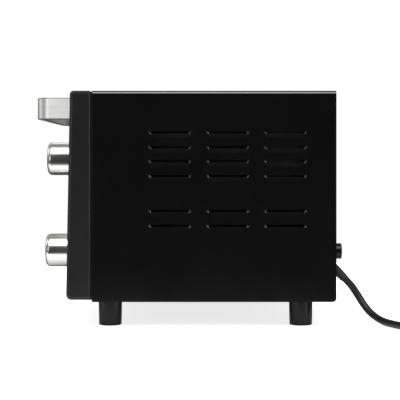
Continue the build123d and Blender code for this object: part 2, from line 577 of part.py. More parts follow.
for label, sx in (("rear_spacer_left", -1), ("rear_spacer_right", 1)):
    with BuildPart() as spacer:
        with Locations(Location((sx * SPACER_X, (PANEL_Y + SHEET + SPACER_TIP) / 2, SPACER_Z), (90, 0, 0))):
            Cylinder(SPACER_R, SPACER_TIP - PANEL_Y - SHEET)
        fillet(spacer.edges().sort_by(Axis.Y)[-1], 1.0)
        with Locations(Location((sx * SPACER_X, SPACER_TIP, SPACER_Z), (90, 0, 0))):
            Cylinder(3.6, 12.0, mode=Mode.SUBTRACT)
        with Locations(Location((sx * SPACER_X, SPACER_TIP, SPACER_Z), (90, 0, 0))):
            Cylinder(2.0, 40.0, mode=Mode.SUBTRACT)
    save(spacer, label)

with BuildPart() as spacer_screws:
    with Locations(*[Location((sx * SPACER_X, SPACER_TIP - 6.0 + 1.0, SPACER_Z), (90, 0, 0)) for sx in (-1, 1)]):
        Cylinder(3.3, 2.0)
    with Locations(*[Location((sx * SPACER_X, SPACER_TIP - 12.0, SPACER_Z), (90, 0, 0)) for sx in (-1, 1)]):
        Cylinder(1.95, 12.0)
save(spacer_screws, "spacer_screws")

with BuildPart() as rear_screws:
    with Locations(*[Location((x, PANEL_Y + SHEET + 0.85, z), (90, 0, 0)) for x, z in rear_holes]):
        Cylinder(3.0, 1.7)
    fillet(rear_screws.edges().filter_by(GeomType.CIRCLE).group_by(Axis.Y)[-1], 0.7)
    with Locations(*[Location((x, PANEL_Y - 2.0, z), (90, 0, 0)) for x, z in rear_holes]):
        Cylinder(1.55, 6.0)
save(rear_screws, "rear_screws")

# ---------------------------------------------------------------- mains lead
CORD_PTS = [(130.0, 166.5, 45.6), (130.3, 173.0, 39.2), (131.6, 179.5, 29.3), (136.8, 186.0, 18.1), (144.9, 192.5, 10.1),
            (157.9, 201.1, 4.6), (174.0, 209.0, 3.8), (195.0, 220.3, 3.8), (207.0, 240.0, 3.8), (209.4, 259.5, 3.8), (207.9, 279.0, 3.8)]
TAIL_PTS = [(164.0, 319.1, 10.6), (152.0, 319.3, 11.4), (139.5, 319.6, 14.2), (127.0, 320.0, 17.4), (115.0, 320.0, 18.4)]


def cord_radii(pts):
    """One arc radius for each corner: 0.45 of its shorter run over the tangent of half its turn."""
    vs = [Vector(*p) for p in pts]
    out = []
    for a, b, c in zip(vs, vs[1:], vs[2:]):
        turn = math.radians((b - a).get_angle(c - b))
        out.append(0.45 * min((b - a).length, (c - b).length) / math.tan(turn / 2))
    return out


for label, pts in (("power_cord", CORD_PTS), ("power_cord_tail", TAIL_PTS)):
    radii = cord_radii(pts)
    print(label, "radii", [round(r, 1) for r in radii])
    with BuildPart() as tube:
        with BuildLine() as path:
            FilletPolyline(*pts, radius=radii)
        with BuildSketch(Plane(origin=pts[0], z_dir=Vector(*pts[1]) - Vector(*pts[0]))):
            Circle(CORD_D / 2)
        sweep(path=path.wires()[0])
    run = sum(e.length for e in path.edges())
    print(label, "length", round(run, 1), "volume", round(tube.part.volume, 1), "section x length", round(run * math.pi * CORD_D ** 2 / 4, 1))
    save(tube, label)

with BuildPart() as cord_coil:
    with BuildSketch(Plane.XZ.offset(-COIL_C[1])):
        Polygon((COIL_C[0] + 33.2, 0.05), (COIL_C[0] + 49.0, 0.05), (COIL_C[0] + 49.0, 8.0), (COIL_C[0] + 45.5, 14.3),
                (COIL_C[0] + 36.7, 14.3), (COIL_C[0] + 33.2, 8.0), align=None)
    revolve(axis=Axis((COIL_C[0], COIL_C[1], 0), (0, 0, 1)))
save(cord_coil, "cord_coil")

boot_dir = Vector(*CORD_PTS[1]) - Vector(*CORD_PTS[0])
boot_plane = Plane(origin=CORD_PTS[0], z_dir=boot_dir)
with BuildPart() as strain_relief:
    with BuildSketch(boot_plane):
        Circle(4.05)
    with BuildSketch(boot_plane.offset(-21.5)):
        Circle(5.2)
    loft()
    with Locations(Location((CORD_EXIT_X, 147.6, 56.2), (90, 0, 0))):
        Cylinder(5.9, 9.0)
    with Locations(Location((CORD_EXIT_X, PANEL_Y + SHEET + 0.9, 56.2), (90, 0, 0))):
        Cylinder(8.0, 1.8)
    with Locations(Location((CORD_EXIT_X, PANEL_Y - 1.4, 56.2), (90, 0, 0))):
        Cylinder(7.2, 2.8)
save(strain_relief, "strain_relief")

PLUG = (115.0, 320.0, 18.4)
with BuildPart() as plug_body:
    with BuildSketch(Plane.XZ.offset(-PLUG[1])):
        with BuildLine():
            Polyline((PLUG[0], PLUG[2]), (PLUG[0], PLUG[2] + 4.6), (PLUG[0] - 16, PLUG[2] + 6.8), (PLUG[0] - 22, PLUG[2] + 14.0),
                     (PLUG[0] - 28, PLUG[2] + 18.3), (PLUG[0] - 50, PLUG[2] + 18.3), (PLUG[0] - 50, PLUG[2]), (PLUG[0], PLUG[2]))
        make_face()
    revolve(axis=Axis(PLUG, (1, 0, 0)))
    # earth clip channels on two sides
    with Locations((PLUG[0] - 42, PLUG[1] - 18.3, PLUG[2]), (PLUG[0] - 42, PLUG[1] + 18.3, PLUG[2])):
        Box(20, 5.0, 6.0, mode=Mode.SUBTRACT)
save(plug_body, "plug_body")
with BuildPart() as plug_pins:
    with Locations(*[Location((PLUG[0] - 59.5, PLUG[1], PLUG[2] + dz), (0, 90, 0)) for dz in (-9.5, 9.5)]):
        Cylinder(2.4, 19.0)
    fillet(plug_pins.edges().filter_by(GeomType.CIRCLE).group_by(Axis.X)[0], 1.0)
save(plug_pins, "plug_pins")

# ---------------------------------------------------------------- internal wiring in the control compartment
WIRES = {
    "wire_mains": [(126.0, 142.0, 56.0), (124.0, 120.0, 54.0), (121.0, 92.0, 50.0), (120.0, 68.5, 42.0)],
    "wire_thermostat": [(141.0, -70.0, 161.8), (146.0, -40.0, 150.0), (150.0, 0.0, 110.0), (147.0, 40.0, 66.0), (144.0, 58.0, 45.6)],
    "wire_timer": [(111.6, -63.6, 67.1), (109.5, -38.0, 64.0), (106.0, -5.0, 58.0), (112.0, 30.0, 50.0), (118.0, 51.5, 42.0)],
}
for label, pts in WIRES.items():
    with BuildPart() as wire:
        with BuildLine() as wpath:
            FilletPolyline(*pts, radius=cord_radii(pts))
        with BuildSketch(Plane(origin=pts[0], z_dir=Vector(*pts[1]) - Vector(*pts[0]))):
            Circle(1.4)
        sweep(path=wpath.wires()[0])
    save(wire, label)
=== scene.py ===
import bpy, bmesh, math
from mathutils import Vector, Matrix


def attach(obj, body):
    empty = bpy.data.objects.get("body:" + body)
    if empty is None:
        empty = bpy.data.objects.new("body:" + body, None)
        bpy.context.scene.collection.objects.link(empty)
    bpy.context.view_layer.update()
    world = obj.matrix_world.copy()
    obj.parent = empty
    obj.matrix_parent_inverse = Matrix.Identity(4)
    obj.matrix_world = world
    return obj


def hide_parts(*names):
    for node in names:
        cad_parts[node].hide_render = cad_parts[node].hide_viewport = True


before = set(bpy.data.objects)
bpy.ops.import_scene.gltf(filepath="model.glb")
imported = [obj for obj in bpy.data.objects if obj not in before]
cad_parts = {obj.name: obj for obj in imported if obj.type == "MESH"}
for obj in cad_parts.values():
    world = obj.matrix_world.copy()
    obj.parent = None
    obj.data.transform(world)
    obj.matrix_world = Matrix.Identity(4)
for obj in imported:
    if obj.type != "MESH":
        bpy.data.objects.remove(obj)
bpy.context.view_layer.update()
scene = bpy.context.scene
scene.view_settings.view_transform = "Standard"
scene.view_settings.look = "None"

# ------------------------------------------------------------------ camera
cam_data = bpy.data.cameras.new("camera")
cam_data.sensor_width = 36.0
cam_data.lens = 108.0
cam_data.shift_y = -0.095
cam_data.clip_start = 0.01
cam_data.clip_end = 50.0
cam = bpy.data.objects.new("camera", cam_data)
cam.location = (1.380, 0.016, 0.1666)
cam.rotation_euler = (math.radians(90), 0, math.radians(90))
scene.collection.objects.link(cam)
scene.camera = cam


# ------------------------------------------------------------------ material helpers
def tree(name):
    m = bpy.data.materials.new(name)
    m.use_nodes = True
    nt = m.node_tree
    return m, nt, nt.nodes["Principled BSDF"]


def coords(nt, scale=(1, 1, 1)):
    tc = nt.nodes.new("ShaderNodeTexCoord")
    mp = nt.nodes.new("ShaderNodeMapping")
    mp.inputs["Scale"].default_value = scale
    nt.links.new(tc.outputs["Object"], mp.inputs["Vector"])
    return mp.outputs["Vector"]


def noise(nt, vec, scale, detail=3.0, rough=0.5, distortion=0.0):
    n = nt.nodes.new("ShaderNodeTexNoise")
    n.inputs["Scale"].default_value = scale
    n.inputs["Detail"].default_value = detail
    n.inputs["Roughness"].default_value = rough
    n.inputs["Distortion"].default_value = distortion
    nt.links.new(vec, n.inputs["Vector"])
    return n.outputs["Fac"]


def ramp(nt, fac, stops):
    r = nt.nodes.new("ShaderNodeValToRGB")
    el = r.color_ramp.elements
    while len(el) < len(stops):
        el.new(0.5)
    for e, (p, c) in zip(el, stops):
        e.position = p
        e.color = (c[0], c[1], c[2], 1.0)
    nt.links.new(fac, r.inputs["Fac"])
    return r.outputs["Color"]


def maprange(nt, fac, a, b, lo=0.3, hi=0.7):
    r = nt.nodes.new("ShaderNodeMapRange")
    r.inputs["From Min"].default_value = lo
    r.inputs["From Max"].default_value = hi
    r.inputs["To Min"].default_value = a
    r.inputs["To Max"].default_value = b
    nt.links.new(fac, r.inputs["Value"])
    return r.outputs["Result"]


def bump(nt, bsdf, height, strength, distance, prev=None):
    b = nt.nodes.new("ShaderNodeBump")
    b.inputs["Strength"].default_value = strength
    b.inputs["Distance"].default_value = distance
    nt.links.new(height, b.inputs["Height"])
    if prev is not None:
        nt.links.new(prev, b.inputs["Normal"])
    nt.links.new(b.outputs["Normal"], bsdf.inputs["Normal"])
    return b.outputs["Normal"]


def shade(c, k):
    return tuple(min(1.0, v * k) for v in c)


def enamel(name, base, rough=(0.26, 0.36), spec=0.5, coat=0.0, grain=2200.0, grain_d=0.00002, vary=0.25):
    """Baked enamel: faint orange peel, handling marks that change the gloss, slight colour drift."""
    m, nt, b = tree(name)
    v = coords(nt)
    big = noise(nt, v, 14.0, 4.0, 0.6)
    fine = noise(nt, v, grain, 2.0, 0.6)
    col = ramp(nt, big, [(0.3, shade(base, 1 - vary)), (0.7, shade(base, 1 + vary))])
    nt.links.new(col, b.inputs["Base Color"])
    nt.links.new(maprange(nt, noise(nt, v, 38.0, 5.0, 0.65), rough[0], rough[1]), b.inputs["Roughness"])
    b.inputs["Specular IOR Level"].default_value = spec
    b.inputs["Coat Weight"].default_value = coat
    b.inputs["Coat Roughness"].default_value = 0.12
    bump(nt, b, fine, 0.35, grain_d)
    return m


def metal(name, base, rough=(0.22, 0.36), stretch=(1, 1, 1), scale=900.0, depth=0.000012, aniso=0.0, rot=0.0, vary=0.16, tangent=None):
    """Brushed or rolled metal: long hairlines in colour, gloss and relief."""
    m, nt, b = tree(name)
    b.inputs["Metallic"].default_value = 1.0
    v = coords(nt, stretch)
    hair = noise(nt, v, scale, 4.0, 0.7)
    v2 = coords(nt)
    cloud = noise(nt, v2, 25.0, 3.0, 0.5)
    col = ramp(nt, hair, [(0.25, shade(base, 1 - vary)), (0.5, base), (0.8, shade(base, 1 + vary))])
    nt.links.new(col, b.inputs["Base Color"])
    mix = nt.nodes.new("ShaderNodeMath")
    mix.operation = "ADD"
    nt.links.new(maprange(nt, hair, rough[0], rough[1]), mix.inputs[0])
    nt.links.new(maprange(nt, cloud, -0.03, 0.03), mix.inputs[1])
    nt.links.new(mix.outputs[0], b.inputs["Roughness"])
    if aniso:
        b.inputs["Anisotropic"].default_value = aniso
        b.inputs["Anisotropic Rotation"].default_value = rot
        t = nt.nodes.new("ShaderNodeTangent")
        t.direction_type = "RADIAL"
        t.axis = tangent or "Z"
        nt.links.new(t.outputs["Tangent"], b.inputs["Tangent"])
    bump(nt, b, hair, 0.5, depth)
    return m


def moulded(name, base, rough=(0.42, 0.55), spec=0.45, grain=1500.0, grain_d=0.00004, vary=0.2):
    """Spark-eroded moulded plastic or rubber: fine pebble grain, dusty gloss variation."""
    m, nt, b = tree(name)
    v = coords(nt)
    big = noise(nt, v, 30.0, 4.0, 0.6)
    vor = nt.nodes.new("ShaderNodeTexVoronoi")
    vor.inputs["Scale"].default_value = grain
    nt.links.new(v, vor.inputs["Vector"])
    nt.links.new(ramp(nt, big, [(0.3, shade(base, 1 - vary)), (0.7, shade(base, 1 + vary))]), b.inputs["Base Color"])
    nt.links.new(maprange(nt, big, rough[0], rough[1]), b.inputs["Roughness"])
    b.inputs["Specular IOR Level"].default_value = spec
    bump(nt, b, vor.outputs["Distance"], 0.4, grain_d)
    return m


BLACK = (0.0021, 0.0021, 0.0023)
M = {}
M["wrap"] = enamel("wrap_black_enamel", BLACK, (0.14, 0.2), 0.46)
# a lighter, glossier copy of the wrap enamel for the louvre ears: painted glints at the slit ends
M["ear"] = enamel("wrap_enamel_painted_glint", (0.012, 0.012, 0.0122), (0.2, 0.28), 1.0, coat=0.6)
M["panel"] = enamel("panel_black_enamel", (0.006, 0.006, 0.0064), (0.34, 0.46), 0.25)
M["bezel"] = enamel("bezel_satin_black", (0.0105, 0.0105, 0.011), (0.18, 0.26), 0.36, grain=1500.0, grain_d=0.00003, vary=0.12)
M["fascia"] = enamel("fascia_black", (0.007, 0.007, 0.0075), (0.22, 0.3), 0.35)
M["door"] = enamel("door_black_enamel", (0.006, 0.006, 0.0065), (0.2, 0.3), 0.35, coat=0.1)
M["handle"] = metal("handle_brushed_steel", (0.78, 0.775, 0.765), (0.42, 0.52), (6, 6, 400), 3.0, 0.00001, aniso=0.6, rot=0.25)
# the handle's rounded top and bottom edges are painted near black and its flat top and bottom faces part-dark: painted
# shade standing in for dark reflections
hm = M["handle"].node_tree
hb = hm.nodes["Principled BSDF"]
hg = hm.nodes.new("ShaderNodeNewGeometry")
hs = hm.nodes.new("ShaderNodeSeparateXYZ")
hm.links.new(hg.outputs["True Normal"], hs.inputs[0])
ha = hm.nodes.new("ShaderNodeMath")
ha.operation = "ABSOLUTE"
hm.links.new(hs.outputs["Z"], ha.inputs[0])
handle_painted_shade_mix = hm.nodes.new("ShaderNodeMix")
handle_painted_shade_mix.data_type = "RGBA"
hm.links.new(ramp(hm, ha.outputs[0], [(0.0, (0, 0, 0)), (0.1, (0, 0, 0)), (0.32, (1, 1, 1)), (0.94, (1, 1, 1)), (0.99, (0.55, 0.55, 0.55))]), handle_painted_shade_mix.inputs[0])
hm.links.new(hb.inputs["Base Color"].links[0].from_socket, handle_painted_shade_mix.inputs[6])
handle_painted_shade_mix.inputs[7].default_value = (0.03, 0.03, 0.03, 1.0)
hm.links.new(handle_painted_shade_mix.outputs[2], hb.inputs["Base Color"])
M["knob"] = metal("knob_turned_steel", (0.60, 0.595, 0.58), (0.16, 0.24), (1, 60, 1), 140.0, 0.000003, vary=0.06)
kt = M["knob"].node_tree
kb = next(n for n in kt.nodes if n.type == "BSDF_PRINCIPLED")
kc = kt.nodes.new("ShaderNodeTexCoord")
ks = kt.nodes.new("ShaderNodeSeparateXYZ")
kt.links.new(kc.outputs["Object"], ks.inputs[0])
bands = []
for axis, mid, half in (("X", 0.132, 0.0009), ("Z", 0.1778, 0.0056), ("Z", 0.0831, 0.0056)):
    band = kt.nodes.new("ShaderNodeMath")
    band.operation = "COMPARE"
    kt.links.new(ks.outputs[axis], band.inputs[0])
    band.inputs[1].default_value = mid
    band.inputs[2].default_value = half
    bands.append(band)
either = kt.nodes.new("ShaderNodeMath")
either.operation = "ADD"
kt.links.new(bands[1].outputs[0], either.inputs[0])
kt.links.new(bands[2].outputs[0], either.inputs[1])
inked = kt.nodes.new("ShaderNodeMath")
inked.operation = "MULTIPLY"
kt.links.new(bands[0].outputs[0], inked.inputs[0])
kt.links.new(either.outputs[0], inked.inputs[1])
kmix = kt.nodes.new("ShaderNodeMix")
kmix.data_type = "RGBA"
kt.links.new(inked.outputs[0], kmix.inputs[0])
kt.links.new(kb.inputs["Base Color"].links[0].from_socket, kmix.inputs[6])
kmix.inputs[7].default_value = (0.012, 0.012, 0.012, 1.0)
kt.links.new(kmix.outputs[2], kb.inputs["Base Color"])
M["zinc"] = metal("zinc_plated_steel", (0.52, 0.53, 0.55), (0.3, 0.45), (1, 1, 1), 320.0)
M["alum"] = metal("aluminised_sheet", (0.52, 0.52, 0.51), (0.34, 0.5), (1, 8, 1), 120.0, 0.00002)
M["chrome"] = metal("bright_plated_wire", (0.78, 0.78, 0.77), (0.1, 0.2), (1, 1, 1), 500.0)
M["sheath"] = metal("oxidised_heater_sheath", (0.16, 0.145, 0.13), (0.42, 0.6), (1, 1, 1), 400.0, 0.00003, vary=0.35)
M["dull"] = metal("dull_oxidised_sheet", (0.11, 0.105, 0.1), (0.5, 0.65), (1, 6, 1), 200.0, 0.00002, vary=0.3)
M["ceramic"] = moulded("steatite_ceramic", (0.72, 0.68, 0.6), (0.35, 0.5), 0.5, 900.0, 0.00002, 0.08)
M["phenolic"] = moulded("phenolic_control_body", (0.45, 0.43, 0.38), (0.4, 0.55), 0.5, 1100.0, 0.00003, 0.12)
M["foot"] = moulded("foot_black_plastic", (0.0036, 0.0036, 0.0038), (0.18, 0.24), 0.16, 1800.0, 0.00002, 0.15)
M["cord"] = moulded("cord_black_rubber", (0.007, 0.007, 0.0073), (0.36, 0.46), 0.26, 2200.0, 0.00003, 0.2)
M["boot"] = moulded("boot_black_rubber", (0.013, 0.013, 0.0135), (0.48, 0.6), 0.4, 1800.0, 0.00003, 0.2)
# near-black matte strip material for the bezel groove: painted shade
M["felt"] = moulded("gasket_black_felt", (0.0022, 0.0022, 0.0022), (0.85, 0.95), 0.05, 2600.0, 0.00006, 0.3)
M["plug"] = moulded("plug_black_moulding", (0.012, 0.012, 0.0125), (0.36, 0.48), 0.45, 1500.0, 0.00004, 0.2)
M["brass"] = metal("nickelled_brass_pins", (0.66, 0.6, 0.46), (0.18, 0.3), (1, 1, 1), 420.0)
M["wire"] = moulded("silicone_wire_insulation", (0.03, 0.027, 0.025), (0.45, 0.6), 0.4, 1500.0, 0.00002, 0.2)
M["ink"] = moulded("dial_marks_pale_ink", (0.62, 0.62, 0.6), (0.5, 0.6), 0.3, 3000.0, 0.000005, 0.05)

# the bezel's rounded top and bottom rims are painted darker, as painted shade, and made rougher so they lose their
# highlight
bn = M["bezel"].node_tree
bb = bn.nodes["Principled BSDF"]
bg = bn.nodes.new("ShaderNodeNewGeometry")
bs = bn.nodes.new("ShaderNodeSeparateXYZ")
bn.links.new(bg.outputs["True Normal"], bs.inputs[0])
ba = bn.nodes.new("ShaderNodeMath")
ba.operation = "ABSOLUTE"
bn.links.new(bs.outputs["Z"], ba.inputs[0])
rim_painted_shade = ramp(bn, ba.outputs[0], [(0.0, (0, 0, 0)), (0.12, (0, 0, 0)), (0.3, (1, 1, 1)), (0.93, (1, 1, 1)), (0.995, (0, 0, 0))])
for sock, dark in (("Base Color", (0.0015, 0.0015, 0.0016, 1.0)), ("Roughness", (0.75, 0.75, 0.75, 1.0))):
    mx = bn.nodes.new("ShaderNodeMix")
    mx.data_type = "RGBA"
    bn.links.new(rim_painted_shade, mx.inputs[0])
    bn.links.new(bb.inputs[sock].links[0].from_socket, mx.inputs[6])
    mx.inputs[7].default_value = dark
    bn.links.new(mx.outputs[2], bb.inputs[sock])

# clear tempered glass with faint smudges in its gloss
m, nt, b = tree("door_clear_glass")
v = coords(nt)
b.inputs["Transmission Weight"].default_value = 1.0
b.inputs["IOR"].default_value = 1.5
nt.links.new(ramp(nt, noise(nt, v, 12.0), [(0.3, (0.80, 0.85, 0.84)), (0.7, (0.86, 0.9, 0.89))]), b.inputs["Base Color"])
nt.links.new(maprange(nt, noise(nt, v, 22.0, 6.0, 0.7), 0.01, 0.05), b.inputs["Roughness"])
bump(nt, b, noise(nt, v, 9.0), 0.05, 0.0001)
M["glass"] = m

m, nt, b = tree("indicator_red_lens")
v = coords(nt)
nt.links.new(ramp(nt, noise(nt, v, 300.0), [(0.3, (0.5, 0.01, 0.006)), (0.7, (0.75, 0.03, 0.015))]), b.inputs["Base Color"])
nt.links.new(maprange(nt, noise(nt, v, 200.0), 0.12, 0.22), b.inputs["Roughness"])
b.inputs["Transmission Weight"].default_value = 0.4
wv = nt.nodes.new("ShaderNodeTexWave")
wv.wave_type = "RINGS"
wv.rings_direction = "Y"
wv.inputs["Scale"].default_value = 300.0
nt.links.new(v, wv.inputs["Vector"])
bump(nt, b, wv.outputs["Fac"], 0.4, 0.00008)
M["lens"] = m

NODE_MAT = {
    "outer_wrap": "wrap", "rear_panel": "panel", "base_plate": "panel", "front_frame": "bezel", "control_fascia": "fascia",
    "door_frame": "door", "door_glass": "glass", "door_inner_retainer": "alum", "door_handle": "handle",
    "thermostat_knob": "knob", "timer_knob": "knob", "cavity_liner": "alum", "crumb_tray": "alum", "wire_rack": "chrome",
    "heater_bushings": "ceramic", "terminal_block": "ceramic", "thermostat_body": "phenolic", "timer_body": "phenolic",
    "heat_shield": "dull", "control_bracket": "dull", "timer_bell": "dull", "indicator_lens": "lens", "indicator_lamp": "lens", "plug_pins": "brass", "plug_body": "plug", "strain_relief": "boot",
}
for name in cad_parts:
    if name.startswith("heater_") and name != "heater_bushings":
        NODE_MAT[name] = "sheath"
    elif name.startswith("foot_") and name != "foot_screws" or name.startswith("rear_spacer"):
        NODE_MAT[name] = "foot"
    elif name.startswith("wire_") and name != "wire_rack":
        NODE_MAT[name] = "wire"
for name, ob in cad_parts.items():
    mat = M[NODE_MAT.get(name, "zinc")]
    for s in ob.material_slots:
        s.material = mat
    if not ob.material_slots:
        ob.data.materials.append(mat)


def mesh_object(name, bm, mat, smooth=True):
    me = bpy.data.meshes.new(name)
    bm.to_mesh(me)
    bm.free()
    ob = bpy.data.objects.new(name, me)
    scene.collection.objects.link(ob)
    me.materials.append(mat)
    if smooth:
        for p in me.polygons:
            p.use_smooth = True
    return ob


# ------------------------------------------------------------------ mains lead
# the route's own points, in metres
CORD = [(0.1300, 0.1665, 0.0456), (0.1303, 0.1730, 0.0392), (0.1316, 0.1795, 0.0293), (0.1368, 0.1860, 0.0181),
        (0.1449, 0.1925, 0.0101), (0.1579, 0.2011, 0.0046), (0.1740, 0.2090, 0.0038), (0.1950, 0.2203, 0.0038),
        (0.2070, 0.2400, 0.0038), (0.2093, 0.2595, 0.0038)]
COIL_C = (0.1625, 0.278)


def step(a, b, x):
    t = max(0.0, min(1.0, (x - a) / (b - a)))
    return t * t * (3 - 2 * t)


turn_points = 16
n_turn = 2.25
for i in range(0, int(n_turn * turn_points)):
    u = i / turn_points
    r = 0.0458 - 0.0080 * step(0.72, 0.99, u) + 0.0040 * step(1.84, 2.02, u)
    z = 0.0038 + 0.0068 * step(1.58, 1.80, u)
    a = 2 * math.pi * u
    CORD.append((COIL_C[0] + r * math.cos(a), COIL_C[1] + r * math.sin(a), z))
CORD += [(0.1625, 0.3197, 0.0108), (0.1500, 0.3197, 0.0117), (0.1385, 0.3198, 0.0143), (0.1265, 0.3200, 0.0175), (0.1145, 0.3200, 0.0184)]
CORD_D = 0.0075

cu = bpy.data.curves.new("power_lead", "CURVE")
cu.dimensions = "3D"
sp = cu.splines.new("NURBS")
sp.points.add(len(CORD) - 1)
for p, c in zip(sp.points, CORD):
    p.co = (*c, 1.0)
sp.order_u = 3
sp.use_endpoint_u = True
sp.resolution_u = 8
cu.bevel_depth = CORD_D / 2
cu.bevel_resolution = 6
cu.use_fill_caps = True
lead = bpy.data.objects.new("power_lead", cu)
scene.collection.objects.link(lead)
cu.materials.append(M["cord"])
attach(lead, "oven_body")
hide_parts("power_cord", "power_cord_tail", "cord_coil")

# tie round the coil
bm = bmesh.new()
tie_a = math.radians(205)
ring = []
tie_profile = [(-0.0093, -0.0006), (-0.0093, 0.0079), (-0.0050, 0.0152), (0.0050, 0.0152), (0.0093, 0.0079), (0.0093, -0.0006)]
tie_profile = [(-0.0089, 0.0003), (-0.0092, 0.0075), (-0.0052, 0.0131), (-0.0030, 0.0146), (0.0030, 0.0146), (0.0052, 0.0131), (0.0092, 0.0075), (0.0089, 0.0003)]
rc = 0.0418
for dz in (-0.004, 0.004):
    row = []
    for dr, z in tie_profile:
        rr = rc + dr
        base = Vector((math.cos(tie_a) * rr, math.sin(tie_a) * rr, z))
        tang = Vector((-math.sin(tie_a), math.cos(tie_a), 0)) * dz
        row.append(bm.verts.new(base + tang + Vector((COIL_C[0], COIL_C[1], 0))))
    ring.append(row)
n = len(tie_profile)
for k in range(n):
    bm.faces.new((ring[0][k], ring[0][(k + 1) % n], ring[1][(k + 1) % n], ring[1][k]))
tie = mesh_object("cord_tie", bm, M["boot"])
sol = tie.modifiers.new("thick", "SOLIDIFY")
sol.thickness = 0.0008
sol.offset = 0.0
bv = tie.modifiers.new("bevel", "BEVEL")
bv.width = 0.0002
bv.segments = 2
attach(tie, "oven_body")

# ribs moulded on the strain relief
bdir = (Vector(CORD[1]) - Vector(CORD[0])).normalized()
bm = bmesh.new()
side = bdir.orthogonal().normalized()
up = bdir.cross(side).normalized()
for k in range(5):
    s = -0.0022 - 0.0026 * k
    r0 = 0.00405 + 0.00115 * (-s / 0.0215)
    rows = []
    for ds, dr in ((-0.0007, -0.0003), (-0.0005, 0.0004), (0.0, 0.00058), (0.0005, 0.0004), (0.0007, -0.0003)):
        row = []
        for j in range(32):
            a = 2 * math.pi * j / 32
            row.append(bm.verts.new(Vector(CORD[0]) + bdir * (s + ds) + (side * math.cos(a) + up * math.sin(a)) * (r0 + dr)))
        rows.append(row)
    for ra, rb in zip(rows, rows[1:] + rows[:1]):
        for j in range(32):
            bm.faces.new((ra[j], ra[(j + 1) % 32], rb[(j + 1) % 32], rb[j]))
bmesh.ops.recalc_face_normals(bm, faces=bm.faces)
ribs = mesh_object("strain_relief_ribs", bm, M["boot"])
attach(ribs, "oven_body")

# ------------------------------------------------------------------ near-black matte strip in the groove between bezel and wrap: painted shade of the groove
def round_loop(hw, z0, z1, r, segs=8):
    pts = []
    for cx, cz, a0 in ((hw - r, z1 - r, 0), (-hw + r, z1 - r, 90), (-hw + r, z0 + r, 180), (hw - r, z0 + r, 270)):
        for k in range(segs + 1):
            a = math.radians(a0 + 90 * k / segs)
            pts.append((cx + r * math.cos(a), cz + r * math.sin(a)))
    return pts


bm = bmesh.new()
rings = []
for y, grow in ((-0.09365, -0.0001), (-0.0935, 0.00012), (-0.09300, 0.00030), (-0.0925, 0.00012), (-0.09235, -0.0001)):
    rings.append([bm.verts.new((x, y, z)) for x, z in round_loop(0.1789 + grow, 0.0286 - grow, 0.2370 + grow, 0.003)])
for ra, rb in zip(rings, rings[1:]):
    n = len(ra)
    for k in range(n):
        bm.faces.new((ra[k], ra[(k + 1) % n], rb[(k + 1) % n], rb[k]))
bmesh.ops.recalc_face_normals(bm, faces=bm.faces)
groove_shade_strip = mesh_object("bezel_groove_painted_shade", bm, M["felt"])
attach(groove_shade_strip, "oven_body")

# ------------------------------------------------------------------ pressed ears at both ends of each slit, in a lighter, glossier copy of the wrap enamel: painted glints
bm = bmesh.new()
for side_x in (-1, 1):
    for yc in (-0.0142, 0.0439, 0.1016):
        for zc in (0.1972, 0.1824, 0.1684, 0.1536, 0.1186, 0.1036):
            for end in (-1, 1):
                lean = math.radians(34) * end
                c = Vector((side_x * 0.17906, yc + end * 0.02045, zc - 0.0010))
                for_v = []
                for i in range(9):
                    th = math.pi * i / 8
                    row = []
                    for j in range(14):
                        ph = 2 * math.pi * j / 14
                        taper = 1.0 + 0.28 * math.cos(th)
                        a, l, h = math.sin(th) * math.cos(ph) * 0.00125 * taper, math.cos(th) * 0.0024, math.sin(th) * math.sin(ph) * 0.00088
                        # a across, l along the leaning ear, h out of the wall
                        y = a * math.cos(lean) + l * math.sin(lean)
                        z = -a * math.sin(lean) + l * math.cos(lean)
                        row.append(bm.verts.new(c + Vector((side_x * h, y, z))))
                    for_v.append(row)
                for ra, rb in zip(for_v, for_v[1:]):
                    for j in range(14):
                        bm.faces.new((ra[j], ra[(j + 1) % 14], rb[(j + 1) % 14], rb[j]))
bmesh.ops.remove_doubles(bm, verts=bm.verts, dist=0.000001)
bmesh.ops.recalc_face_normals(bm, faces=bm.faces)
ears = mesh_object("louvre_ears", bm, M["ear"])
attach(ears, "oven_body")

# ------------------------------------------------------------------ dial marks round the knobs
TILT = math.radians(1.07)


def face_y(z):
    return -0.1184 + (z - 0.0284) * math.tan(TILT)


def add_bar(bm, centre, along, across, normal, length, width, height):
    vs = []
    for h, k in ((0.0, 1.0), (height, 0.86)):
        for sa, sb in ((-1, -1), (1, -1), (1, 1), (-1, 1)):
            vs.append(bm.verts.new(centre + along * sa * (length / 2 - (1 - k) * width) + across * sb * width / 2 * k + normal * h))
    for f in ((3, 2, 1, 0), (4, 5, 6, 7), (0, 1, 5, 4), (1, 2, 6, 5), (2, 3, 7, 6), (3, 0, 4, 7)):
        bm.faces.new([vs[i] for i in f])


normal = Vector((0, -math.cos(TILT), math.sin(TILT)))
vup = Vector((0, math.sin(TILT), math.cos(TILT)))
bm = bmesh.new()
for kz, sweep, count in ((0.1698, 290, 11), (0.0751, 300, 16)):
    c = Vector((0.132, face_y(kz), kz))
    for i in range(count):
        a = math.radians(90 - sweep * i / (count - 1))
        d = Vector((1, 0, 0)) * math.cos(a) + vup * math.sin(a)
        t = Vector((1, 0, 0)) * -math.sin(a) + vup * math.cos(a)
        major = i % 5 == 0
        add_bar(bm, c + d * (0.0215 if major else 0.0209) + normal * 0.00001, d, t, normal, 0.0036 if major else 0.0022, 0.0009 if major else 0.0006, 0.00012)
bmesh.ops.recalc_face_normals(bm, faces=bm.faces)
marks = mesh_object("dial_marks", bm, M["ink"], smooth=False)
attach(marks, "oven_body")

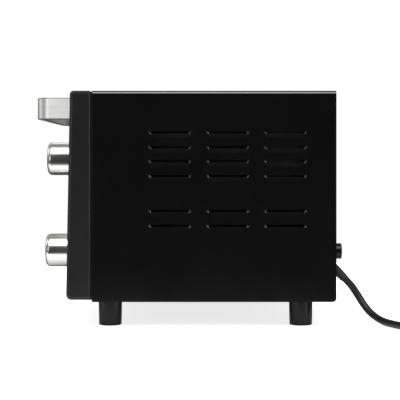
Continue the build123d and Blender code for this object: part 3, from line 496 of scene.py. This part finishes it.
# ------------------------------------------------------------------ studio: floor, world and lights
bm = bmesh.new()
bmesh.ops.create_circle(bm, cap_ends=True, segments=96, radius=0.62)
floor_mat, nt, b = tree("floor_pale")
v = coords(nt)
nt.links.new(ramp(nt, noise(nt, v, 3.0), [(0.3, (0.88, 0.88, 0.88)), (0.7, (0.9, 0.9, 0.9))]), b.inputs["Base Color"])
b.inputs["Roughness"].default_value = 0.9
b.inputs["Specular IOR Level"].default_value = 0.1
b.inputs["Emission Color"].default_value = (1, 1, 1, 1)
b.inputs["Emission Strength"].default_value = 0.78
# seen by glossy rays only, the floor turns near black from behind the oven to its near side and again beyond a narrow
# band on the camera side: a painted dark reflection in the knobs, feet and walls
geo = nt.nodes.new("ShaderNodeNewGeometry")
gx = nt.nodes.new("ShaderNodeSeparateXYZ")
nt.links.new(geo.outputs["Position"], gx.inputs[0])
far_side = maprange(nt, gx.outputs["X"], 0.97, 0.0, 0.05, 0.21)
lpf = nt.nodes.new("ShaderNodeLightPath")
under = nt.nodes.new("ShaderNodeMath")
under.operation = "MULTIPLY"
nt.links.new(far_side, under.inputs[0])
nt.links.new(maprange(nt, gx.outputs["X"], 0.0, 1.0, -0.36, -0.24), under.inputs[1])
near_side = maprange(nt, gx.outputs["X"], 0.0, 0.985, 0.27, 0.36)
both = nt.nodes.new("ShaderNodeMath")
both.operation = "MAXIMUM"
nt.links.new(under.outputs[0], both.inputs[0])
nt.links.new(near_side, both.inputs[1])
dark_reflection_mask = nt.nodes.new("ShaderNodeMath")
dark_reflection_mask.operation = "MULTIPLY"
nt.links.new(both.outputs[0], dark_reflection_mask.inputs[0])
nt.links.new(lpf.outputs["Is Glossy Ray"], dark_reflection_mask.inputs[1])
painted_dark_reflection = nt.nodes.new("ShaderNodeBsdfDiffuse")
painted_dark_reflection.inputs["Color"].default_value = (0.02, 0.02, 0.02, 1)
mixf = nt.nodes.new("ShaderNodeMixShader")
nt.links.new(dark_reflection_mask.outputs[0], mixf.inputs[0])
nt.links.new(b.outputs[0], mixf.inputs[1])
nt.links.new(painted_dark_reflection.outputs[0], mixf.inputs[2])
nt.links.new(mixf.outputs[0], nt.nodes["Material Output"].inputs["Surface"])
floor = mesh_object("floor", bm, floor_mat, smooth=False)
floor.location = (-0.02, 0.05, -0.0002)

world = bpy.data.worlds.new("studio")
scene.world = world
world.use_nodes = True
wt = world.node_tree
for nd in list(wt.nodes):
    wt.nodes.remove(nd)
out = wt.nodes.new("ShaderNodeOutputWorld")
lp = wt.nodes.new("ShaderNodeLightPath")
bg_cam = wt.nodes.new("ShaderNodeBackground")
bg_cam.inputs["Color"].default_value = (1, 1, 1, 1)
bg_cam.inputs["Strength"].default_value = 1.0
bg_env = wt.nodes.new("ShaderNodeBackground")
tc = wt.nodes.new("ShaderNodeTexCoord")
sep = wt.nodes.new("ShaderNodeSeparateXYZ")
wt.links.new(tc.outputs["Generated"], sep.inputs[0])


def wmap(sock, lo, hi, a, b):
    r = wt.nodes.new("ShaderNodeMapRange")
    r.interpolation_type = "SMOOTHSTEP"
    r.inputs["From Min"].default_value = lo
    r.inputs["From Max"].default_value = hi
    r.inputs["To Min"].default_value = a
    r.inputs["To Max"].default_value = b
    wt.links.new(sock, r.inputs["Value"])
    return r.outputs["Result"]


def wmath(op, a, b=None):
    n = wt.nodes.new("ShaderNodeMath")
    n.operation = op
    for i, s in enumerate((a, b)):
        if s is None:
            continue
        if isinstance(s, (int, float)):
            n.inputs[i].default_value = s
        else:
            wt.links.new(s, n.inputs[i])
    return n.outputs[0]


height = wmath("ARCTAN2", sep.outputs["Z"], sep.outputs["X"])       # 0 level on the camera side, pi/2 overhead
azim = wmath("ABSOLUTE", wmath("ARCTAN2", sep.outputs["Y"], wmath("MAXIMUM", sep.outputs["X"], 0.001)))
rise = wmap(height, math.radians(35), math.radians(46), 0.0, 1.0)
fall = wmap(height, math.radians(76), math.radians(96), 1.0, 0.0)
strip = wmath("MULTIPLY", wmath("MULTIPLY", rise, fall), wmap(azim, math.radians(9), math.radians(42), 12.0, 0.35))
sky = wmap(sep.outputs["Z"], 0.45, 0.75, 0.0, 0.35)
sides = wmap(wmath("ABSOLUTE", sep.outputs["Y"]), 0.86, 0.99, 0.0, 0.45)
back = wmath("MULTIPLY", wmap(height, math.radians(116), math.radians(132), 0.0, 0.6), wmap(height, math.radians(150), math.radians(170), 1.0, 0.1))
total = wmath("ADD", wmath("ADD", wmath("ADD", wmath("ADD", strip, sky), sides), back), 0.05)
wt.links.new(total, bg_env.inputs["Strength"])
mixs = wt.nodes.new("ShaderNodeMixShader")
wt.links.new(lp.outputs["Is Camera Ray"], mixs.inputs[0])
wt.links.new(bg_env.outputs[0], mixs.inputs[1])
wt.links.new(bg_cam.outputs[0], mixs.inputs[2])
wt.links.new(mixs.outputs[0], out.inputs["Surface"])


def area(name, loc, target, size, power, size_y=None, color=(1, 1, 1)):
    ld = bpy.data.lights.new(name, "AREA")
    ld.energy = power
    ld.color = color
    ld.size = size
    if size_y:
        ld.shape = "RECTANGLE"
        ld.size_y = size_y
    lo = bpy.data.objects.new(name, ld)
    lo.location = loc
    lo.rotation_euler = (Vector(target) - Vector(loc)).to_track_quat("-Z", "Y").to_euler()
    scene.collection.objects.link(lo)
    return lo


area("overhead_softbox", (0.9, 0.0, 1.4), (0.1, 0, 0.1), 0.9, 2.0, 0.9)
area("front_softbox", (-0.25, -1.7, 1.0), (-0.1, -0.1, 0.15), 0.9, 6.0, 0.9)
area("front_strip", (1.3, -0.78, 0.35), (0.18, -0.11, 0.16), 0.22, 2.2, 0.8)
area("rear_strip", (1.02, 1.2, 0.35), (0.18, 0.1, 0.16), 0.25, 5.0, 0.8)
